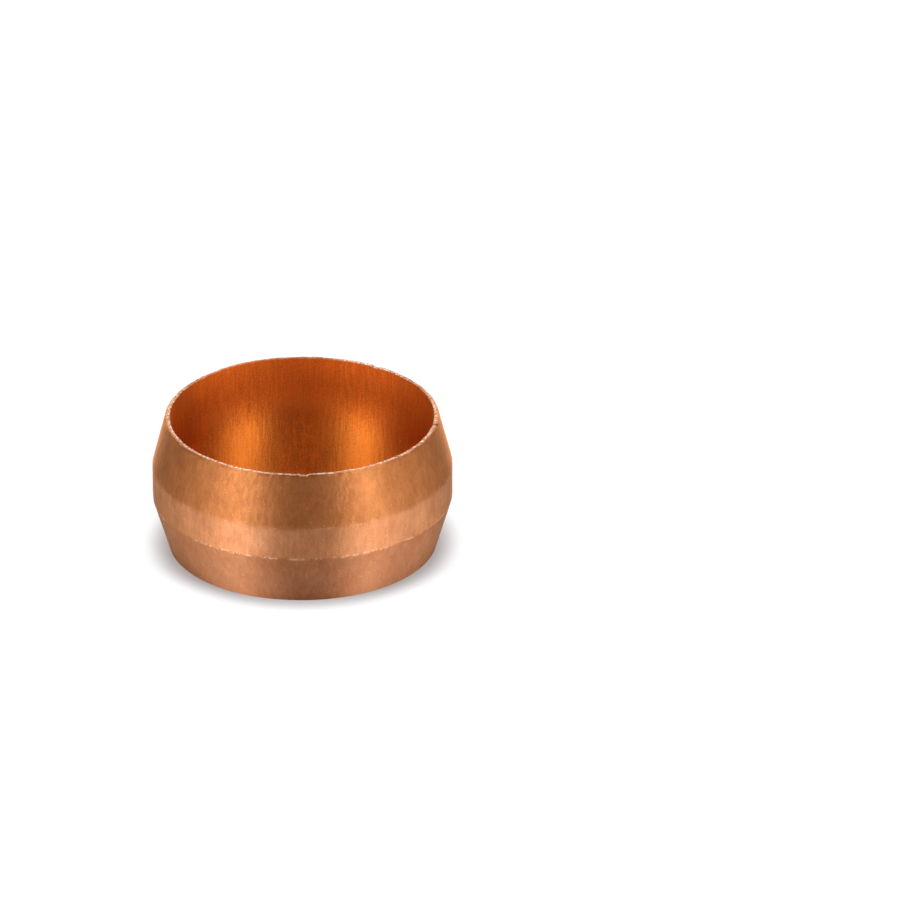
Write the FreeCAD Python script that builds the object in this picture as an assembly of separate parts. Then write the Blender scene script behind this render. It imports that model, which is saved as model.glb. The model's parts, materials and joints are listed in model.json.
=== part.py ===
# Compression olive for 15 mm copper tube: one copper ring that slides over the tube, where a nut
# squeezes it into the mouth of a fitting. A cylindrical band runs round the middle, a cone tapers from
# each edge of the band to an end, and the bore is straight.
# Millimetres, with the bore along Z and the foot standing on Z = 0.
import FreeCAD, Part
import math
import os

# Driving dimensions
TUBE_DIAMETER = 15.0  # outside of the tube that the olive slides over
TUBE_CLEARANCE = 0.05  # radial gap between tube and bore
BAND_WALL = 1.05  # wall under the band, the thickest of the section
BAND_LENGTH = 1.9  # from the lower ridge to the upper ridge
TAPER_LENGTH = 3.05  # of each cone, from its ridge to its end
RIM_WALL = 0.26  # wall left at the rim, the cut end that stands up
FOOT_WALL = 0.14  # wall left at the foot, the end that it stands on
UPPER_RIDGE_ROUNDING = 0.5  # radius of the ridge between the band and the rim's cone
LOWER_RIDGE_ROUNDING = 0.2  # radius of the ridge between the band and the foot's cone
RIM_ROUNDING = 0.07  # radius of the rim's two edges
FOOT_ROUNDING = 0.04  # radius of the foot's two edges
LARGEST_END_ROUNDING = 0.4  # share of an end's wall that one rounded edge may take

# Places on the section, as radii from the axis and heights above the foot
bore_radius = TUBE_DIAMETER / 2 + TUBE_CLEARANCE
band_radius = bore_radius + BAND_WALL
rim_radius = bore_radius + RIM_WALL
foot_radius = bore_radius + FOOT_WALL
lower_ridge_height = TAPER_LENGTH
upper_ridge_height = lower_ridge_height + BAND_LENGTH
rim_height = upper_ridge_height + TAPER_LENGTH
rim_rounding = min(RIM_ROUNDING, LARGEST_END_ROUNDING * RIM_WALL)
foot_rounding = min(FOOT_ROUNDING, LARGEST_END_ROUNDING * FOOT_WALL)


def section_point(radius, height):
    """A point of the half section, which lies in the XZ plane."""
    return FreeCAD.Vector(radius, 0, height)


def tangent_arc(before, corner, after, rounding):
    """The arc of the given radius that rounds a corner and meets both of its sides smoothly."""
    to_before = (before - corner).normalize()
    to_after = (after - corner).normalize()
    inward = (to_before + to_after).normalize()
    half_angle = to_before.getAngle(to_after) / 2
    tangent_length = rounding / math.tan(half_angle)
    crown_depth = rounding / math.sin(half_angle) - rounding
    return Part.Arc(
        corner + to_before * tangent_length,
        corner + inward * crown_depth,
        corner + to_after * tangent_length,
    )


def rounded_outline(corners):
    """The closed wire through a list of (point, rounding radius), with each corner rounded."""
    arcs = []
    for index, (corner, rounding) in enumerate(corners):
        before = corners[index - 1][0]
        after = corners[(index + 1) % len(corners)][0]
        arcs.append(tangent_arc(before, corner, after, rounding))
    edges = []
    for arc, next_arc in zip(arcs, arcs[1:] + arcs[:1]):
        edges.append(arc.toShape())
        edges.append(Part.LineSegment(arc.EndPoint, next_arc.StartPoint).toShape())
    return Part.Wire(edges)


def make_olive():
    """The olive as one solid: its rounded half section turned about the bore's axis."""
    outline = rounded_outline(
        [
            (section_point(bore_radius, 0), foot_rounding),
            (section_point(foot_radius, 0), foot_rounding),
            (section_point(band_radius, lower_ridge_height), LOWER_RIDGE_ROUNDING),
            (section_point(band_radius, upper_ridge_height), UPPER_RIDGE_ROUNDING),
            (section_point(rim_radius, rim_height), rim_rounding),
            (section_point(bore_radius, rim_height), rim_rounding),
        ]
    )
    axis_point = FreeCAD.Vector(0, 0, 0)
    axis_direction = FreeCAD.Vector(0, 0, 1)
    return Part.Face(outline).revolve(axis_point, axis_direction, 360)


def main():
    """Builds the olive, writes it out and prints its main figures."""
    os.makedirs("parts", exist_ok=True)
    olive = make_olive()
    olive.exportStep("parts/olive.step")
    box = olive.optimalBoundingBox()
    print("olive", olive.ShapeType, "valid", olive.isValid(), "closed", olive.isClosed())
    print("size", round(box.XLength, 4), round(box.YLength, 4), round(box.ZLength, 4))
    print("volume", round(olive.Volume, 4), "mm3")


main()
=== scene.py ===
"""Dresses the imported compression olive: one ring of satin copper that stands on its foot on a pale floor."""

import json
import logging
import math
from dataclasses import dataclass, field
from enum import Enum
from typing import Any

import bpy
import numpy as np
from mathutils import Matrix, Vector


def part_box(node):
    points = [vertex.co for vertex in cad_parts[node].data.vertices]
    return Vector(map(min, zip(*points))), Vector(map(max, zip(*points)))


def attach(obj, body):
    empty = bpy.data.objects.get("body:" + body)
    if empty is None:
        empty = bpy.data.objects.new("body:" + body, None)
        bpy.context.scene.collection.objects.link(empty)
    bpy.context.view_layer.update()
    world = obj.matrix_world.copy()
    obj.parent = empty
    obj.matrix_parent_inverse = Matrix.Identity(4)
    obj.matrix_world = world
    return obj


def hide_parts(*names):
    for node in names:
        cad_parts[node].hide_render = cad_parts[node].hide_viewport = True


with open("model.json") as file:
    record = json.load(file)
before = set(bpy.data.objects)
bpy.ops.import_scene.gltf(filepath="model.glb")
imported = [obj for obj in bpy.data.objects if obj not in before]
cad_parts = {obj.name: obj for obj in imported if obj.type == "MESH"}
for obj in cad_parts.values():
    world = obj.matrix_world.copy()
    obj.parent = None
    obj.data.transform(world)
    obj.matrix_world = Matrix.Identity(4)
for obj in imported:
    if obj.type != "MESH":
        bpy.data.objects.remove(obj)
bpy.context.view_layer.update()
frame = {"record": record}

MM = 0.001
MICRON = 0.000001
BODY = "root"
NODE = "olive"
LOG = logging.getLogger("olive")

# Bearings, with places around the ring counted in turns from +X towards +Y
DEGREES_IN_TURN = 360
HALF_TURN = 0.5
FRONT_TURN = -0.25

# Numbers of the Mix node's sockets for colours, whose names it repeats for other types
MIX_SHARE = 0
MIX_FIRST = 6
MIX_SECOND = 7
MIX_RESULT = 2

Array = np.ndarray
Color = tuple[float, float, float]
Span = tuple[float, float]
Lumps = tuple[float, ...]

WHITE: Color = (1.0, 1.0, 1.0)
COOL_WHITE: Color = (0.96, 1.0, 1.05)


class Zone(Enum):
    """The sides of the section, in the order in which its outline runs."""

    FOOT = 0
    LOWER_CONE = 1
    BAND = 2
    UPPER_CONE = 3
    RIM = 4
    BORE = 5


class Skin(Enum):
    """The names of the masks that the mesh carries for its finish."""

    RIM = "rim"
    WEAR = "wear"
    INSIDE = "inside"
    BAND = "band"
    LOWER = "lower"
    FILM = "film"


def smooth_step(low: float, high: float, value: Array) -> Array:
    """A smooth ramp from 0 at low to 1 at high.

    Args:
        low: The value where the ramp starts.
        high: The value where the ramp ends.
        value: The values to ramp.

    Returns:
        The ramped values, from 0 to 1.
    """
    share = np.clip((value - low) / (high - low), 0.0, 1.0)
    return share * share * (3.0 - 2.0 * share)


def gap_around(turn: Array, bearing: float, radius: float) -> Array:
    """How far places lie from a bearing, measured around the ring.

    Args:
        turn: Places around the ring, from 0 to 1, counted from +X towards +Y.
        bearing: Degrees from the front towards +X.
        radius: The ring's radius.

    Returns:
        The distance of each place.
    """
    middle = bearing / DEGREES_IN_TURN + FRONT_TURN
    return np.abs((turn - middle + HALF_TURN) % 1.0 - HALF_TURN) * math.tau * radius


@dataclass
class RingNoise:
    """Smooth random fields on the skin of a ring, which close on themselves and are the same in every run."""

    along: Array
    turn: Array
    length_along: float
    length_around: float
    seed: int
    fade: float = 0.5
    source: np.random.Generator = field(init=False)

    def __post_init__(self) -> None:
        """Starts the random source from the seed."""
        self.source = np.random.default_rng(self.seed)

    def field_of(self, size_along: float, size_around: float) -> Array:
        """A random field from 0 to 1 over the whole skin.

        Args:
            size_along: How long its lumps are along the section, in metres.
            size_around: How wide its lumps are around the ring, in metres.

        Returns:
            The field, with a row per ring of points and a column per bearing.
        """
        rows = max(1, round(self.length_along / size_along))
        columns = max(1, round(self.length_around / size_around))
        values = self.source.random((rows + 1, columns))
        row = np.minimum((self.along * rows).astype(int), rows - 1)
        row_share = smooth_step(0.0, 1.0, self.along * rows - row)[:, None]
        column = (self.turn * columns).astype(int) % columns
        column_share = smooth_step(0.0, 1.0, self.turn * columns - column)[None, :]
        after = (column + 1) % columns
        low = values[row][:, column] * (1 - column_share) + values[row][:, after] * column_share
        high = values[row + 1][:, column] * (1 - column_share) + values[row + 1][:, after] * column_share
        return low * (1 - row_share) + high * row_share

    def line_of(self, *sizes_around: float) -> Array:
        """A random line around the ring, from 0 to 1, with lumps of several widths.

        The lumps of each width are lower than those of the width before it, by the factor fade.

        Args:
            sizes_around: How wide its lumps are around the ring, in metres.

        Returns:
            The line, with a value per bearing.
        """
        total = np.zeros_like(self.turn)
        weight = 0.0
        for order, size in enumerate(sizes_around):
            total += self.field_of(self.length_along, size)[0] * self.fade**order
            weight += self.fade**order
        return total / weight


@dataclass
class Trace:
    """The section's outline as points, with the outward direction and the side of each one."""

    radius: Array
    height: Array
    out_radius: Array
    out_height: Array
    zone: Array
    along: Array
    length: float

    def is_in(self, *zones: Zone) -> Array:
        """Which points lie on the given sides."""
        return np.isin(self.zone, [zone.value for zone in zones])


@dataclass
class Section:
    """The half section of the olive, in metres from the bore's axis and above the foot."""

    bore_radius: float
    band_radius: float
    length: float
    rim_wall: float = 0.26 * MM
    foot_wall: float = 0.14 * MM
    lower_ridge_height: float = 3.05 * MM
    upper_ridge_height: float = 4.95 * MM
    lower_ridge_rounding: float = 0.2 * MM
    upper_ridge_rounding: float = 0.5 * MM
    rim_rounding: float = 0.07 * MM
    foot_rounding: float = 0.04 * MM
    outside_step: float = 0.1 * MM
    bore_step: float = 0.28 * MM
    end_step: float = 0.03 * MM
    arc_points: int = 6

    def corners(self) -> list[tuple[Vector, float]]:
        """The outline's corners as points of radius and height, each with its rounding."""
        return [
            (Vector((self.bore_radius, 0.0)), self.foot_rounding),
            (Vector((self.bore_radius + self.foot_wall, 0.0)), self.foot_rounding),
            (Vector((self.band_radius, self.lower_ridge_height)), self.lower_ridge_rounding),
            (Vector((self.band_radius, self.upper_ridge_height)), self.upper_ridge_rounding),
            (Vector((self.bore_radius + self.rim_wall, self.length)), self.rim_rounding),
            (Vector((self.bore_radius, self.length)), self.rim_rounding),
        ]

    def step_on(self, zone: Zone) -> float:
        """The spacing of points on a side."""
        steps = {Zone.BORE: self.bore_step, Zone.FOOT: self.end_step, Zone.RIM: self.end_step}
        return steps.get(zone, self.outside_step)

    def spread(self, zone: Zone, share: float) -> float:
        """Where a point goes along its side: evenly, but closer together at the bore's two ends."""
        return (1 - math.cos(math.pi * share)) / 2 if zone is Zone.BORE else share

    def rounded(self, before: Vector, corner: Vector, after: Vector, rounding: float) -> list[Vector]:
        """The points of the arc that rounds a corner.

        Args:
            before: The corner before this one.
            corner: The corner to round.
            after: The corner after this one.
            rounding: The arc's radius.

        Returns:
            The arc's points, from its start to its end.
        """
        to_before = (before - corner).normalized()
        to_after = (after - corner).normalized()
        half_angle = to_before.angle(to_after) / 2
        middle = corner + (to_before + to_after).normalized() * (rounding / math.sin(half_angle))
        start = corner + to_before * (rounding / math.tan(half_angle)) - middle
        end = corner + to_after * (rounding / math.tan(half_angle)) - middle
        sweep = start.angle(end)
        points = []
        for index in range(self.arc_points):
            share = index / (self.arc_points - 1)
            blend = start * math.sin((1 - share) * sweep) + end * math.sin(share * sweep)
            points.append(middle + blend / math.sin(sweep))
        return points

    def trace(self) -> Trace:
        """The whole outline as points, from the foot's inner edge round to the bore.

        Returns:
            The outline, with its outward directions and sides.
        """
        corners = self.corners()
        points: list[Vector] = []
        sides: list[int] = []
        for index, zone in enumerate(Zone):
            before = corners[index - 1][0]
            corner, rounding = corners[index]
            after, after_rounding = corners[(index + 1) % len(corners)]
            beyond = corners[(index + 2) % len(corners)][0]
            arc = self.rounded(before, corner, after, rounding)
            start = arc[-1]
            end = self.rounded(corner, after, beyond, after_rounding)[0]
            count = max(1, round((end - start).length / self.step_on(zone)))
            straight = [start.lerp(end, self.spread(zone, step / count)) for step in range(1, count)]
            points += arc + straight
            sides += [zone.value] * (len(arc) + len(straight))
        place = np.array([tuple(point) for point in points])
        tangent = np.roll(place, -1, axis=0) - np.roll(place, 1, axis=0)
        tangent /= np.linalg.norm(tangent, axis=1)[:, None]
        gaps = np.linalg.norm(np.diff(place, axis=0), axis=1)
        along = np.concatenate([[0.0], np.cumsum(gaps)])
        return Trace(
            radius=place[:, 0],
            height=place[:, 1],
            out_radius=tangent[:, 1],
            out_height=-tangent[:, 0],
            zone=np.array(sides),
            along=along / along[-1],
            length=float(along[-1]),
        )


@dataclass(frozen=True)
class Nick:
    """A small dent in the rim: its bearing from the front towards +X in degrees, its width and its depth."""

    bearing: float
    width: float
    depth: float
    flat_share: float = 0.3
    edge_share: float = 0.5

    def cut(self, turn: Array, radius: float) -> Array:
        """How deep the nick is.

        Args:
            turn: Places around the ring, from 0 to 1.
            radius: The ring's radius.

        Returns:
            The depth at each place.
        """
        gap = gap_around(turn, self.bearing, radius)
        return self.depth * (1 - smooth_step(self.flat_share * self.width, self.edge_share * self.width, gap))


@dataclass(frozen=True)
class Patch:
    """A patch of skin: its bearing as on a nick, half width, lowest and highest point, and amount."""

    bearing: float
    half_width: float
    low: float
    high: float
    amount: float
    full_share: float = 0.3
    gone_share: float = 1.5

    def cover(self, turn: Array, height: Array, radius: float, fade: float) -> Array:
        """How much of the patch lies at each place.

        Args:
            turn: Places around the ring, from 0 to 1.
            height: Heights above the foot.
            radius: The ring's radius.
            fade: How softly the patch ends above and below.

        Returns:
            The amount at each place.
        """
        gap = gap_around(turn, self.bearing, radius)
        across = 1 - smooth_step(self.full_share * self.half_width, self.gone_share * self.half_width, gap)
        above_low = smooth_step(self.low - fade, self.low + fade, height)
        above_high = smooth_step(self.high - fade, self.high + fade, height)
        return self.amount * across * above_low * (1 - above_high)


@dataclass(frozen=True)
class Film:
    """A thin brown film on the copper, which drifts from place to place."""

    share: float = 0.14
    drift: float = 0.14
    lump_size: float = 1.5 * MM

    def cover(self, noise: RingNoise) -> Array:
        """How thick the film is at each place, from 0 to 1."""
        lumps = noise.field_of(self.lump_size, self.lump_size)
        return np.clip(self.share + self.drift * (2 * lumps - 1), 0.0, 1.0)


@dataclass
class Relief:
    """How the skin departs from the smooth section: waves, pits, lines, a ragged rim and worn ridges."""

    wave_size: float = 1.7 * MM
    wave_depth: float = 5 * MICRON
    pit_size: float = 0.16 * MM
    pit_depth: float = 5 * MICRON
    line_width: float = 0.16 * MM
    line_length: float = 3.0 * MM
    line_depth: float = 2 * MICRON
    streak_length: float = 0.5 * MM
    streak_depth: float = 6 * MICRON
    rim_reach: float = 0.25 * MM
    rim_sag: float = 0.035 * MM
    sag_lumps: Lumps = (1.1 * MM, 0.45 * MM, 0.2 * MM)
    sag_span: Span = (0.25, 0.85)
    rim_lean: float = 0.045 * MM
    rim_burr: float = 0.08 * MM
    burr_lumps: Lumps = (0.7 * MM, 0.3 * MM, 0.16 * MM)
    rim_tooth: float = 0.02 * MM
    tooth_stretch: float = 3.0
    tooth_width: float = 0.14 * MM
    ridge_reach: float = 0.12 * MM
    ridge_drift: float = 0.04 * MM
    drift_lumps: Lumps = (1.2 * MM, 0.5 * MM, 0.25 * MM)
    chip_depth: float = 0.025 * MM
    chip_lumps: Lumps = (0.9 * MM, 0.4 * MM)
    chip_span: Span = (0.62, 0.8)
    inset: float = 6 * MICRON
    inset_reach: float = 0.3 * MM
    wear_reach: float = 0.04 * MM
    wear_lumps: Lumps = (0.5 * MM, 0.25 * MM, 0.12 * MM)
    low_zone_reach: float = 0.07 * MM
    high_zone_reach: float = 0.28 * MM
    low_ridge_wear: float = 0.7
    low_wear_span: Span = (0.3, 0.65)
    high_ridge_wear: float = 0.3
    high_wear_span: Span = (0.4, 0.75)
    rim_pale_start: float = 0.45
    rim_pale_end: float = 0.85
    dull_fade: float = 1.0 * MM
    nicks: tuple[Nick, ...] = (
        Nick(1.5, 0.5 * MM, 0.06 * MM),
        Nick(147.0, 0.6 * MM, 0.06 * MM),
        Nick(-62.0, 0.35 * MM, 0.05 * MM),
        Nick(80.0, 0.4 * MM, 0.05 * MM),
    )
    scuffs: tuple[Patch, ...] = (
        Patch(-15.0, 0.09 * MM, 3.6 * MM, 4.6 * MM, 0.2),
        Patch(63.0, 0.07 * MM, 3.4 * MM, 4.2 * MM, 0.15),
        Patch(-112.0, 0.08 * MM, 3.7 * MM, 4.8 * MM, 0.2),
        Patch(171.0, 0.09 * MM, 3.4 * MM, 4.4 * MM, 0.2),
    )
    dull_rim: tuple[Patch, ...] = (
        Patch(-158.0, 4.6 * MM, 0.0, 10 * MM, 0.75),
        Patch(118.0, 1.2 * MM, 0.0, 10 * MM, 0.5),
        Patch(28.0, 0.8 * MM, 0.0, 10 * MM, 0.4),
    )

    def texture(self, noise: RingNoise, outside: Array, inside: Array) -> Array:
        """How deep the skin's waves, pits, drawn lines and short streaks are.

        Args:
            noise: The random source of the skin.
            outside: Which points lie outside.
            inside: Which points lie in the bore.

        Returns:
            The depth at each point.
        """
        waves = noise.field_of(self.wave_size, self.wave_size) * self.wave_depth
        pits = noise.field_of(self.pit_size, self.pit_size) * self.pit_depth
        lines = noise.field_of(self.line_length, self.line_width) * self.line_depth
        streaks = noise.field_of(self.streak_length, self.line_width) * self.streak_depth
        return outside * (waves + pits) + inside * (lines + streaks)

    def rim_line(self, noise: RingNoise, radius: float) -> Array:
        """How far the rim sags below its highest point, with its nicks.

        Args:
            noise: The random source of the skin.
            radius: The rim's radius.

        Returns:
            The sag at each bearing.
        """
        sag = smooth_step(*self.sag_span, noise.line_of(*self.sag_lumps)) * self.rim_sag
        for nick in self.nicks:
            sag = sag + nick.cut(noise.turn, radius)
        return sag - sag.min()

    def wear(self, noise: RingNoise, gap: Array, span: Span) -> Array:
        """How worn a ridge is.

        Args:
            noise: The random source of the skin.
            gap: Heights over the ridge.
            span: The random values where wear sets in and where it is full.

        Returns:
            The wear at each point, from 0 to 1.
        """
        ragged = smooth_step(*span, noise.line_of(*self.wear_lumps))
        return np.exp(-((gap / self.wear_reach) ** 2)) * ragged

    def above(self, gap: Array, reach: float) -> Array:
        """A soft mask of what lies above a ridge, by the height over it and the reach of the change."""
        return smooth_step(-reach, reach, gap)


@dataclass
class NodeGraph:
    """Adds nodes to a tree and links them."""

    tree: bpy.types.NodeTree

    def add(self, kind: str, inputs: dict[Any, Any], **settings: Any) -> bpy.types.Node:
        """Adds a node.

        Args:
            kind: The node's type.
            inputs: A value, or an output to link, for each input by name or number.
            settings: The node's own settings.

        Returns:
            The node.
        """
        node = self.tree.nodes.new(kind)
        for name, value in settings.items():
            setattr(node, name, value)
        for name, value in inputs.items():
            if isinstance(value, bpy.types.NodeSocket):
                self.tree.links.new(value, node.inputs[name])
            else:
                node.inputs[name].default_value = value
        return node

    def calc(self, operation: str, *values: Any) -> bpy.types.NodeSocket:
        """The result of a sum on one to three numbers."""
        return self.add("ShaderNodeMath", dict(enumerate(values)), operation=operation).outputs[0]

    def span(
        self, value: bpy.types.NodeSocket, low: float, high: float, start: float = 0.0, end: float = 1.0
    ) -> bpy.types.NodeSocket:
        """A smooth ramp.

        Args:
            value: The number to ramp.
            low: Where the ramp starts.
            high: Where the ramp ends.
            start: What it gives at low.
            end: What it gives at high.

        Returns:
            The ramped number.
        """
        inputs = {"Value": value, "From Min": low, "From Max": high, "To Min": start, "To Max": end}
        return self.add("ShaderNodeMapRange", inputs, interpolation_type="SMOOTHSTEP").outputs["Result"]

    def blend(self, share: bpy.types.NodeSocket, first: Any, second: Any) -> bpy.types.NodeSocket:
        """A colour between two, by a share from 0 to 1."""
        inputs = {MIX_SHARE: share, MIX_FIRST: self.opaque(first), MIX_SECOND: self.opaque(second)}
        return self.add("ShaderNodeMix", inputs, data_type="RGBA").outputs[MIX_RESULT]

    def opaque(self, color: Any) -> Any:
        """A colour with its alpha, or the output that gives it."""
        return color if isinstance(color, bpy.types.NodeSocket) else (*color, 1.0)

    def noise(self, place: bpy.types.NodeSocket, size: float, detail: float) -> bpy.types.NodeSocket:
        """A random number from about 0 to 1, in lumps of a size in metres with finer ones on them."""
        inputs = {"Vector": place, "Scale": 1 / size, "Detail": detail}
        return self.add("ShaderNodeTexNoise", inputs).outputs["Fac"]

    def stretched(self, place: bpy.types.NodeSocket, stretch: float) -> bpy.types.NodeSocket:
        """Coordinates in which lumps come out longer along the bore."""
        return self.add("ShaderNodeMapping", {"Vector": place, "Scale": (1, 1, 1 / stretch)}).outputs[0]

    def mask(self, skin: Skin) -> bpy.types.NodeSocket:
        """One of the masks that the mesh carries."""
        return self.add("ShaderNodeAttribute", {}, attribute_name=skin.value).outputs["Fac"]


@dataclass(frozen=True)
class CopperFinish:
    """Satin copper with a fine grain, and paler metal where it is cut or worn.

    The bore has drawn lines along it and grows matt towards its mouth, where its colour grows darker as
    painted shade.
    """

    name: str = "satin_copper"
    # Lit and shaded copies of one copper: the lower cone, which faces the floor, is darkest as painted shade;
    # the upper cone, which faces the lamps, is darker than the band; the bore is brighter and redder as
    # painted light for the light that bounces inside the ring.
    upper: Color = (0.57, 0.222, 0.075)
    band: Color = (0.68, 0.31, 0.144)
    lower: Color = (0.47, 0.205, 0.098)
    skin_film: Color = (0.42, 0.125, 0.034)
    bore: Color = (0.97, 0.28, 0.038)
    # Painted shade: the bore's colour turns to this darker one towards its mouth, from mouth_low to
    # mouth_high.
    bore_mouth_shade: Color = (0.72, 0.172, 0.02)
    mouth_low: float = 3.0 * MM
    mouth_high: float = 6.6 * MM
    bore_film: Color = (0.36, 0.085, 0.016)
    ridge: Color = (0.95, 0.60, 0.42)
    cut: Color = (0.66, 0.46, 0.34)
    fleck: Color = (0.98, 0.8, 0.68)
    pit: Color = (0.36, 0.19, 0.1)
    edge_tint: Color = (1.0, 0.9, 0.74)
    shade_low: float = 0.86
    shade_high: float = 1.07
    roughness: float = 0.6
    bore_roughness: float = 0.5
    mouth_roughness: float = 1.0
    roughness_drift: float = 0.06
    cut_roughness: float = 0.85
    stretch_of_shine: float = 0.9
    turn_of_shine: float = 0.25
    grain_size: float = 0.10 * MM
    grain_detail: float = 3.0
    grain_share: float = 0.36
    smudge_size: float = 0.2 * MM
    smudge_stretch: float = 4.0
    smudge_detail: float = 2.0
    smudge_share: float = 0.34
    mottle_size: float = 0.9 * MM
    mottle_detail: float = 3.0
    mottle_share: float = 0.3
    line_width: float = 0.1 * MM
    line_stretch: float = 14.0
    line_detail: float = 2.0
    line_share: float = 0.8
    bore_grain_share: float = 1.2
    bore_tone_drop: float = 0.5
    tone_span: Span = (0.3, 0.7)
    fleck_size: float = 0.14 * MM
    fleck_detail: float = 1.0
    fleck_share: float = 0.28
    worn_specks: Span = (0.4, 0.6)
    skin_specks: Span = (0.7, 0.8)
    pale_specks: Span = (0.53, 0.66)
    dark_specks: Span = (0.44, 0.34)
    bump_depth: float = 18 * MICRON
    bore_bump_depth: float = 9 * MICRON

    def material(self) -> bpy.types.Material:
        """Builds the finish.

        Returns:
            The material.
        """
        material = bpy.data.materials.new(self.name)
        material.use_nodes = True
        graph = NodeGraph(material.node_tree)
        shader = material.node_tree.nodes["Principled BSDF"]
        shader.inputs["Metallic"].default_value = 1.0
        shader.inputs["Specular Tint"].default_value = (*self.edge_tint, 1.0)
        shader.inputs["Anisotropic"].default_value = self.stretch_of_shine
        shader.inputs["Anisotropic Rotation"].default_value = self.turn_of_shine
        place = graph.add("ShaderNodeTexCoord", {}).outputs["Object"]
        tone = self.tone(graph, place)
        rim = graph.mask(Skin.RIM)
        height = graph.add("ShaderNodeSeparateXYZ", {"Vector": place}).outputs["Z"]
        mouth = graph.span(height, self.mouth_low, self.mouth_high)
        color = self.color(graph, place, tone, rim, mouth)
        roughness = self.rough(graph, tone, rim, mouth)
        depth = graph.span(graph.mask(Skin.INSIDE), 0.0, 1.0, self.bump_depth, self.bore_bump_depth)
        raised = graph.calc("MULTIPLY", tone, depth)
        bump = graph.add("ShaderNodeBump", {"Height": raised, "Strength": 1.0, "Distance": 1.0})
        material.node_tree.links.new(color, shader.inputs["Base Color"])
        material.node_tree.links.new(roughness, shader.inputs["Roughness"])
        material.node_tree.links.new(bump.outputs["Normal"], shader.inputs["Normal"])
        return material

    def tone(self, graph: NodeGraph, place: bpy.types.NodeSocket) -> bpy.types.NodeSocket:
        """How light or dark the metal's grain is, from about 0 to 1.

        Args:
            graph: The graph to add to.
            place: Coordinates in metres.

        Returns:
            The tone.
        """
        grain = graph.noise(place, self.grain_size, self.grain_detail)
        drawn_a_little = graph.stretched(place, self.smudge_stretch)
        smudge = graph.noise(drawn_a_little, self.smudge_size, self.smudge_detail)
        mottle = graph.noise(place, self.mottle_size, self.mottle_detail)
        drawn_far = graph.stretched(place, self.line_stretch)
        lines = graph.noise(drawn_far, self.line_width, self.line_detail)
        outside = graph.calc("MULTIPLY", smudge, self.smudge_share)
        outside = graph.calc("MULTIPLY_ADD", grain, self.grain_share, outside)
        outside = graph.calc("MULTIPLY_ADD", mottle, self.mottle_share, outside)
        inside = graph.calc("MULTIPLY", grain, self.bore_grain_share)
        inside = graph.calc("MULTIPLY_ADD", lines, self.line_share, inside)
        inside = graph.calc("SUBTRACT", inside, self.bore_tone_drop)
        share = graph.mask(Skin.INSIDE)
        difference = graph.calc("SUBTRACT", inside, outside)
        return graph.calc("MULTIPLY_ADD", difference, share, outside)

    def color(
        self,
        graph: NodeGraph,
        place: bpy.types.NodeSocket,
        tone: bpy.types.NodeSocket,
        rim: bpy.types.NodeSocket,
        mouth: bpy.types.NodeSocket,
    ) -> bpy.types.NodeSocket:
        """The metal's colour.

        Args:
            graph: The graph to add to.
            place: Coordinates in metres.
            tone: How light or dark the grain is.
            rim: The mask of the rim.
            mouth: How near the bore's mouth is.

        Returns:
            The colour.
        """
        # Painted light and shade: each outer side gets its own lit or shaded copy of the copper, and the bore
        # a brighter, redder one.
        skin = graph.blend(graph.mask(Skin.BAND), self.upper, self.band)
        skin = graph.blend(graph.mask(Skin.LOWER), skin, self.lower)
        # Painted shade: the bore's colour darkens towards its mouth.
        clean = graph.blend(mouth, self.bore, self.bore_mouth_shade)
        speck = graph.noise(place, self.fleck_size, self.fleck_detail)
        film = graph.mask(Skin.FILM)
        bore = graph.blend(film, clean, self.bore_film)
        skin = graph.blend(film, skin, self.skin_film)
        skin = graph.blend(graph.mask(Skin.INSIDE), skin, bore)
        shade = graph.span(tone, *self.tone_span, self.shade_low, self.shade_high)
        shaded = graph.add("ShaderNodeVectorMath", {0: skin, "Scale": shade}, operation="SCALE")
        skin = shaded.outputs["Vector"]
        worn = graph.calc("MULTIPLY", graph.mask(Skin.WEAR), graph.span(speck, *self.worn_specks))
        skin = graph.blend(worn, skin, self.ridge)
        outside = graph.calc("SUBTRACT", self.fleck_share, graph.mask(Skin.INSIDE))
        outside = graph.calc("MAXIMUM", outside, 0.0)
        pale = graph.calc("MULTIPLY", graph.span(speck, *self.skin_specks), outside)
        skin = graph.blend(pale, skin, self.ridge)
        cut = graph.blend(graph.span(speck, *self.pale_specks), self.cut, self.fleck)
        cut = graph.blend(graph.span(speck, *self.dark_specks), cut, self.pit)
        return graph.blend(rim, skin, cut)

    def rough(
        self,
        graph: NodeGraph,
        tone: bpy.types.NodeSocket,
        rim: bpy.types.NodeSocket,
        mouth: bpy.types.NodeSocket,
    ) -> bpy.types.NodeSocket:
        """The metal's roughness.

        Args:
            graph: The graph to add to.
            tone: How light or dark the grain is.
            rim: The mask of the rim.
            mouth: How near the bore's mouth is.

        Returns:
            The roughness.
        """
        drift = graph.span(tone, *self.tone_span, self.roughness_drift, -self.roughness_drift)
        scuffed = self.mouth_roughness - self.bore_roughness
        inward = graph.calc("MULTIPLY_ADD", mouth, scuffed, self.bore_roughness - self.roughness)
        skin = graph.calc("MULTIPLY_ADD", graph.mask(Skin.INSIDE), inward, self.roughness)
        skin = graph.calc("ADD", skin, drift)
        difference = graph.calc("SUBTRACT", self.cut_roughness, skin)
        return graph.calc("MULTIPLY_ADD", difference, rim, skin)


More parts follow.
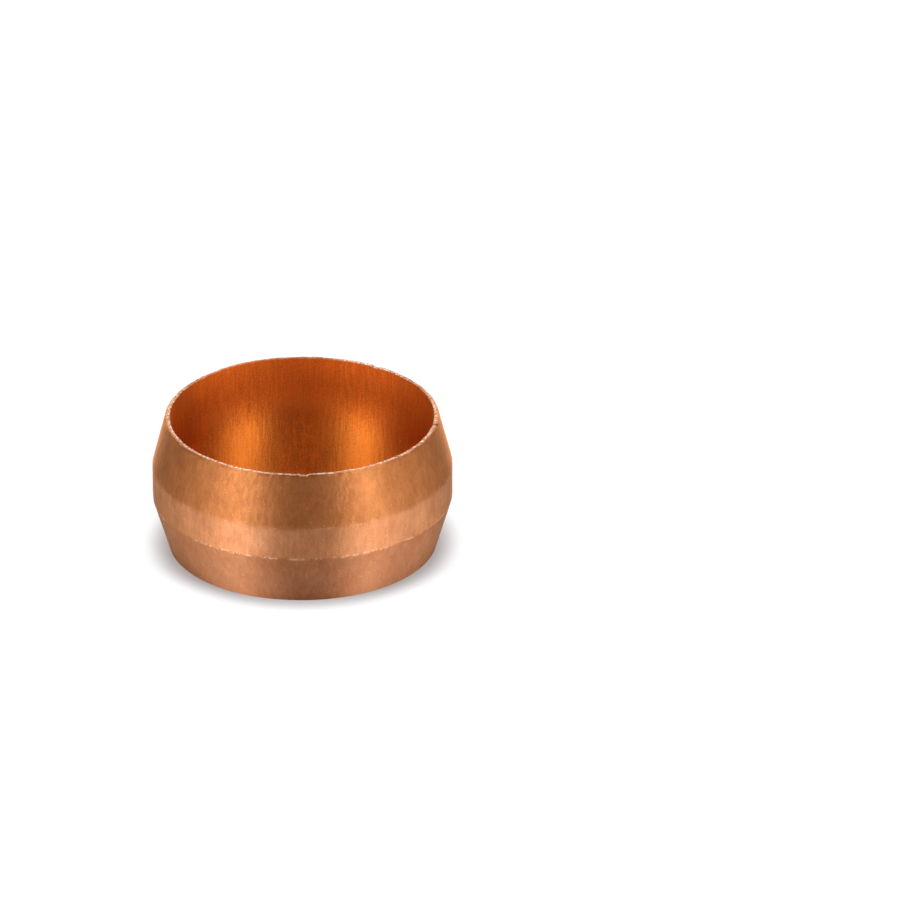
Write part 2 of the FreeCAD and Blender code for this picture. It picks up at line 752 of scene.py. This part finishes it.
@dataclass
class Olive:
    """The olive: one ring of copper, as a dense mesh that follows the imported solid."""

    section: Section
    relief: Relief
    film: Film
    finish: CopperFinish
    columns: int = 680
    seed: int = 15
    bake_map: str = "OFBake"
    map_margin: float = 0.004

    def build(self) -> bpy.types.Object:
        """Builds the ring and dresses it.

        Returns:
            The ring as an object of the scene.
        """
        trace = self.section.trace()
        turn = np.arange(self.columns) / self.columns
        radius, height, masks = self.shape(trace, turn)
        angle = turn * math.tau
        place = np.stack([radius * np.cos(angle), radius * np.sin(angle), height], axis=2)
        mesh = bpy.data.meshes.new("copper_ring")
        mesh.from_pydata(place.reshape(-1, 3).tolist(), [], self.faces(len(trace.radius)).tolist())
        mesh.shade_smooth()
        for skin, values in masks.items():
            layer = mesh.attributes.new(skin.value, "FLOAT", "POINT")
            layer.data.foreach_set("value", values.astype(np.float32).ravel())
        self.lay_out_map(mesh, trace)
        mesh.materials.append(self.finish.material())
        ring = bpy.data.objects.new("copper_ring", mesh)
        bpy.context.scene.collection.objects.link(ring)
        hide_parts(NODE)
        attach(ring, BODY)
        return ring

    def faces(self, rings: int) -> Array:
        """The corners of each face, as numbers of points.

        Args:
            rings: How many rings of points the mesh has.

        Returns:
            A row of four points per face, ring by ring.
        """
        ring = np.arange(rings)[:, None]
        column = np.arange(self.columns)[None, :]
        here = ring * self.columns
        above = (ring + 1) % rings * self.columns
        after = (column + 1) % self.columns
        corners = [here + column, here + after, above + after, above + column]
        return np.stack(corners, axis=2).reshape(-1, 4)

    def shape(self, trace: Trace, turn: Array) -> tuple[Array, Array, dict[Skin, Array]]:
        """The points of the ring with their relief, and the masks of its skin.

        Args:
            trace: The section's outline.
            turn: Places around the ring, from 0 to 1.

        Returns:
            The radius and the height of each point, and each mask.
        """
        relief, section = self.relief, self.section
        noise = RingNoise(trace.along, turn, trace.length, math.tau * section.band_radius, self.seed)
        ones = np.ones_like(turn)[None, :]
        radius = trace.radius[:, None] * ones
        height = trace.height[:, None] * ones
        outside = trace.is_in(Zone.LOWER_CONE, Zone.BAND, Zone.UPPER_CONE)[:, None]
        inside = trace.is_in(Zone.BORE)[:, None]

        # The skin's texture, with the band set in a little so that it keeps within the solid's box
        sink = relief.texture(noise, outside, inside)
        below_band = (section.band_radius - trace.radius)[:, None]
        sink = sink + relief.inset * (1 - smooth_step(0.0, relief.inset_reach, below_band))

        # The lower ridge, which wanders and is chipped
        drift = (noise.line_of(*relief.drift_lumps) - 0.5) * 2 * relief.ridge_drift
        chips = smooth_step(*relief.chip_span, noise.line_of(*relief.chip_lumps))
        low_gap = height - section.lower_ridge_height
        low_ridge = outside * np.exp(-((low_gap / relief.ridge_reach) ** 2))
        height = height + low_ridge * drift
        sink = sink + low_ridge * chips * relief.chip_depth

        # The rim, which sags, leans and has a burr, nicks and teeth
        below_rim = section.length - trace.height[:, None]
        near_rim = 1 - smooth_step(0.0, relief.rim_reach, below_rim)
        cut = trace.is_in(Zone.RIM)[:, None] | (inside & (below_rim < section.rim_rounding))
        burr = (noise.line_of(*relief.burr_lumps) - 0.5) * relief.rim_burr
        tooth_length = relief.rim_tooth * relief.tooth_stretch
        teeth = noise.field_of(tooth_length, relief.tooth_width) * relief.rim_tooth
        height = height - near_rim * relief.rim_line(noise, section.bore_radius)
        radius = radius + near_rim * np.where(inside, 0.0, burr)
        height = height - cut * (radius - section.bore_radius) / section.rim_wall * relief.rim_lean
        sink = sink + cut * teeth

        # The masks of bright wear, of the pale lip and of each side
        high_gap = height - section.upper_ridge_height
        wear = relief.low_ridge_wear * relief.wear(noise, low_gap, relief.low_wear_span)
        wear = wear + relief.high_ridge_wear * relief.wear(noise, high_gap, relief.high_wear_span)
        for scuff in relief.scuffs:
            wear = wear + scuff.cover(turn[None, :], height, section.band_radius, scuff.half_width)
        across = (trace.radius - section.bore_radius)[:, None] / section.rim_wall
        rim_edge = smooth_step(relief.rim_pale_start, relief.rim_pale_end, across)
        low_above = relief.above(low_gap, relief.low_zone_reach)
        high_above = relief.above(high_gap, relief.high_zone_reach)
        dulls = [
            patch.cover(turn, section.length, section.bore_radius, relief.dull_fade)
            for patch in relief.dull_rim
        ]
        bright = 1 - sum(dulls)
        masks = {
            Skin.RIM: cut * (1 - rim_edge) * bright[None, :],
            Skin.WEAR: outside * np.clip(wear, 0.0, 1.0),
            Skin.INSIDE: inside * ones,
            Skin.BAND: outside * low_above * (1 - high_above),
            Skin.LOWER: (outside | trace.is_in(Zone.FOOT)[:, None]) * (1 - low_above),
            Skin.FILM: self.film.cover(noise),
        }
        radius = radius - sink * trace.out_radius[:, None]
        height = height - sink * trace.out_height[:, None]
        return radius, height, masks

    def lay_out_map(self, mesh: bpy.types.Mesh, trace: Trace) -> None:
        """Lays the skin out flat as four strips: two halves of the outside and two of the bore.

        Args:
            mesh: The ring's mesh, with its faces in order of ring and column.
            trace: The section's outline.
        """
        halves = 2
        strips = 2 * halves
        rings = len(trace.radius)
        inside = trace.is_in(Zone.BORE)
        split = trace.along[inside].min()
        half = self.columns // halves
        ring = np.arange(rings)[:, None]
        column = np.arange(self.columns)[None, :]
        strip = np.where(inside[ring], halves, 0) + column // half
        low = np.where(inside, (trace.along - split) / (1 - split), trace.along / split)
        after = np.append(trace.along[1:], 1.0)
        high = np.where(inside, (after - split) / (1 - split), after / split)
        left = (column % half) / half
        right = (column % half + 1) / half
        keep = 1 - 2 * self.map_margin
        across = np.stack(np.broadcast_arrays(left, right, right, left), axis=2)
        across = np.broadcast_to(across, (rings, self.columns, 4))
        up = np.stack([low, low, high, high], axis=1)[:, None, :]
        u = self.map_margin + keep * across
        v = (strip[:, :, None] + self.map_margin + keep * up) / strips
        layer = mesh.uv_layers.new(name=self.bake_map)
        places = np.stack(np.broadcast_arrays(u, v), axis=3)
        layer.uv.foreach_set("vector", places.astype(np.float32).ravel())


@dataclass
class Floor:
    """The plain pale floor that the olive stands on, which glows less inside the ring, where it is shaded."""

    reach: float = 4.0
    color: Color = (0.36, 0.36, 0.36)
    roughness: float = 0.9
    glow: float = 0.74
    shade_glow: float = 0.19
    glow_color: Color = (0.96, 1.0, 1.02)
    shade_start: float = 7.6 * MM
    shade_end: float = 9.4 * MM

    def build(self) -> bpy.types.Object:
        """Builds the floor.

        Returns:
            The floor as an object of the scene.
        """
        corners = [(-self.reach, -self.reach), (self.reach, -self.reach)]
        corners += [(self.reach, self.reach), (-self.reach, self.reach)]
        mesh = bpy.data.meshes.new("floor")
        mesh.from_pydata([(x, y, 0.0) for x, y in corners], [], [(0, 1, 2, 3)])
        material = bpy.data.materials.new("pale_floor")
        material.use_nodes = True
        shader = material.node_tree.nodes["Principled BSDF"]
        shader.inputs["Base Color"].default_value = (*self.color, 1.0)
        shader.inputs["Roughness"].default_value = self.roughness
        shader.inputs["Specular IOR Level"].default_value = 0.0
        shader.inputs["Emission Color"].default_value = (*self.glow_color, 1.0)
        graph = NodeGraph(material.node_tree)
        path = graph.add("ShaderNodeLightPath", {}).outputs
        mirrored = graph.calc("MAXIMUM", path["Is Glossy Ray"], path["Is Transmission Ray"])
        shown = graph.calc("MAXIMUM", path["Is Camera Ray"], mirrored)
        position = graph.add("ShaderNodeNewGeometry", {}).outputs["Position"]
        away = graph.add("ShaderNodeVectorMath", {0: position}, operation="LENGTH").outputs["Value"]
        level = graph.span(away, self.shade_start, self.shade_end, self.shade_glow, self.glow)
        glow = graph.calc("MULTIPLY", shown, level)
        material.node_tree.links.new(glow, shader.inputs["Emission Strength"])
        mesh.materials.append(material)
        floor = bpy.data.objects.new("floor", mesh)
        bpy.context.scene.collection.objects.link(floor)
        return floor


@dataclass
class PhotoCamera:
    """The camera at the photograph's viewing angle, with a long lens."""

    elevation: float = math.radians(26.13)
    lens: float = 350.0
    sensor: float = 36.0
    frame_pixels: float = 900.0
    pixels_per_metre: float = 17450.0
    olive_pixel: tuple[float, float] = (302.54, 477.12)
    clip_factor: float = 100.0

    def build(self, target: Vector) -> None:
        """Builds the camera and makes it the scene's own.

        Args:
            target: The point of the olive that olive_pixel shows.
        """
        right = Vector((1, 0, 0))
        up = Vector((0, math.sin(self.elevation), math.cos(self.elevation)))
        back = right.cross(up)
        middle = self.frame_pixels / 2
        across = (middle - self.olive_pixel[0]) / self.pixels_per_metre
        upward = (self.olive_pixel[1] - middle) / self.pixels_per_metre
        distance = self.frame_pixels / self.pixels_per_metre * self.lens / self.sensor
        data = bpy.data.cameras.new("camera")
        data.lens = self.lens
        data.sensor_width = self.sensor
        data.clip_start = distance / self.clip_factor
        data.clip_end = distance * self.clip_factor
        camera = bpy.data.objects.new("camera", data)
        camera.location = target + right * across + up * upward + back * distance
        camera.rotation_euler = Matrix((right, up, back)).transposed().to_euler()
        bpy.context.scene.collection.objects.link(camera)
        bpy.context.scene.camera = camera


@dataclass(frozen=True)
class SoftBox:
    """A square-edged soft lamp that faces the olive. Azimuth 0 is towards the camera and 90 towards +X."""

    name: str
    azimuth: float
    elevation: float
    half_width: float
    half_height: float
    color: Color
    strength: float
    distance: float = 0.6

    def build(self, target: Vector) -> None:
        """Builds the lamp.

        Args:
            target: The point that it faces.
        """
        around, up = math.radians(self.azimuth), math.radians(self.elevation)
        away = Vector((math.sin(around) * math.cos(up), -math.cos(around) * math.cos(up), math.sin(up)))
        data = bpy.data.lights.new(self.name, "AREA")
        data.shape = "RECTANGLE"
        data.size = 2 * self.distance * math.tan(math.radians(self.half_width))
        data.size_y = 2 * self.distance * math.tan(math.radians(self.half_height))
        data.energy = self.strength * math.pi * data.size * data.size_y
        data.color = self.color
        lamp = bpy.data.objects.new(self.name, data)
        lamp.location = target + away * self.distance
        lamp.rotation_euler = away.to_track_quat("Z", "Y").to_euler()
        bpy.context.scene.collection.objects.link(lamp)


@dataclass
class Studio:
    """Soft studio light: a pair of key, low and side boxes, one box behind the olive and a dim warm room."""

    room: Color = (0.15, 0.064, 0.032)
    boxes: tuple[SoftBox, ...] = (
        SoftBox("left_key_box", -55, 36, 11, 15, COOL_WHITE, 9.2),
        SoftBox("right_key_box", 55, 36, 11, 15, COOL_WHITE, 9.2),
        SoftBox("left_low_box", -58, 5, 37, 5, COOL_WHITE, 6.6),
        SoftBox("right_low_box", 69, 5, 37, 5, COOL_WHITE, 6.6),
        SoftBox("left_side_box", -108, 6, 14, 6, COOL_WHITE, 1.6),
        SoftBox("right_side_box", 114, 6, 14, 6, COOL_WHITE, 2.0),
        SoftBox("back_box", 180, 32, 14, 13, WHITE, 8.0),
    )

    def build(self, target: Vector) -> None:
        """Builds the lamps and the room's own light.

        Args:
            target: The point that the lamps face.
        """
        for box in self.boxes:
            box.build(target)
        world = bpy.data.worlds.new("room")
        world.use_nodes = True
        world.node_tree.nodes["Background"].inputs["Color"].default_value = (*self.room, 1.0)
        bpy.context.scene.world = world


def main() -> None:
    """Builds the olive, the floor, the light and the camera."""
    logging.basicConfig(level=logging.INFO, format="%(message)s")
    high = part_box(NODE)[1]
    mounts = {mount["name"]: mount for mount in frame["record"]["mounts"]}
    section = Section(
        bore_radius=mounts["tube_bore"]["dims"]["r_mm"] * MM,
        band_radius=high.x,
        length=high.z,
    )
    ring = Olive(section, Relief(), Film(), CopperFinish()).build()
    floor = Floor().build()
    for piece in (ring, floor):
        LOG.info("%s: %d points, %d faces", piece.name, len(piece.data.vertices), len(piece.data.polygons))
    middle = Vector((0, 0, section.length / 2))
    Studio().build(middle)
    PhotoCamera().build(middle)
    bpy.context.scene.view_settings.view_transform = "Standard"


if __name__ == "__main__":
    main()
